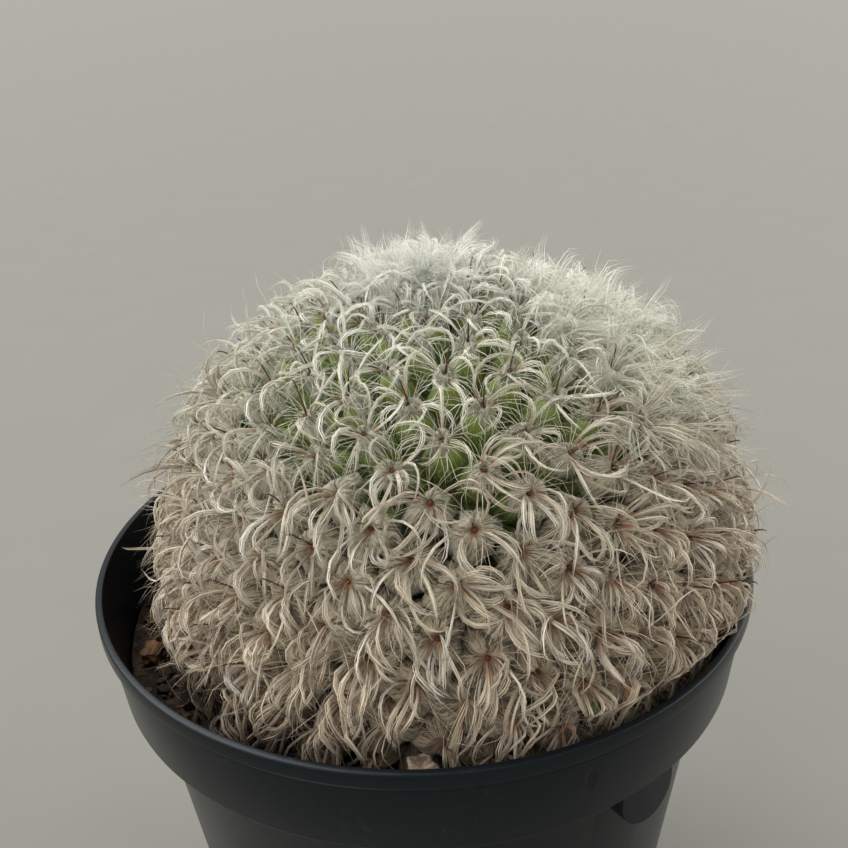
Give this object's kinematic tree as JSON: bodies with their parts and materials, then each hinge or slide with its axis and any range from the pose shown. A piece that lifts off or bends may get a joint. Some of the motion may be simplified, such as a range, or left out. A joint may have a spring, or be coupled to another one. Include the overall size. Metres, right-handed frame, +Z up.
{
  "type": "potted powder puff cactus",
  "caption": "Round woolly cactus with hooked spines, standing off centre in bark soil in a thin black nursery pot; rests on its flat foot.",
  "frame": {"origin": "middle of the pot's foot, on the surface that the pot stands on", "axes": "+Z up along the pot's axis; -Y is the side seen from the front, with the wider strip of bare soil on the -X side"},
  "size_m": [0.0905, 0.09, 0.1236],
  "materials": {
    "pot_plastic": "satin",
    "potting_soil": "matte",
    "cactus_wool": "matte",
    "bark": "matte",
    "grit": "matte"
  },
  "bodies": {
    "root": {"pot": "pot_plastic", "soil": "potting_soil", "cactus": "cactus_wool", "bark_chip_1": "bark", "bark_chip_2": "bark", "bark_chip_3": "bark", "bark_chip_4": "bark", "grit_1": "grit", "grit_2": "grit"}
  },
  "joints": []
}
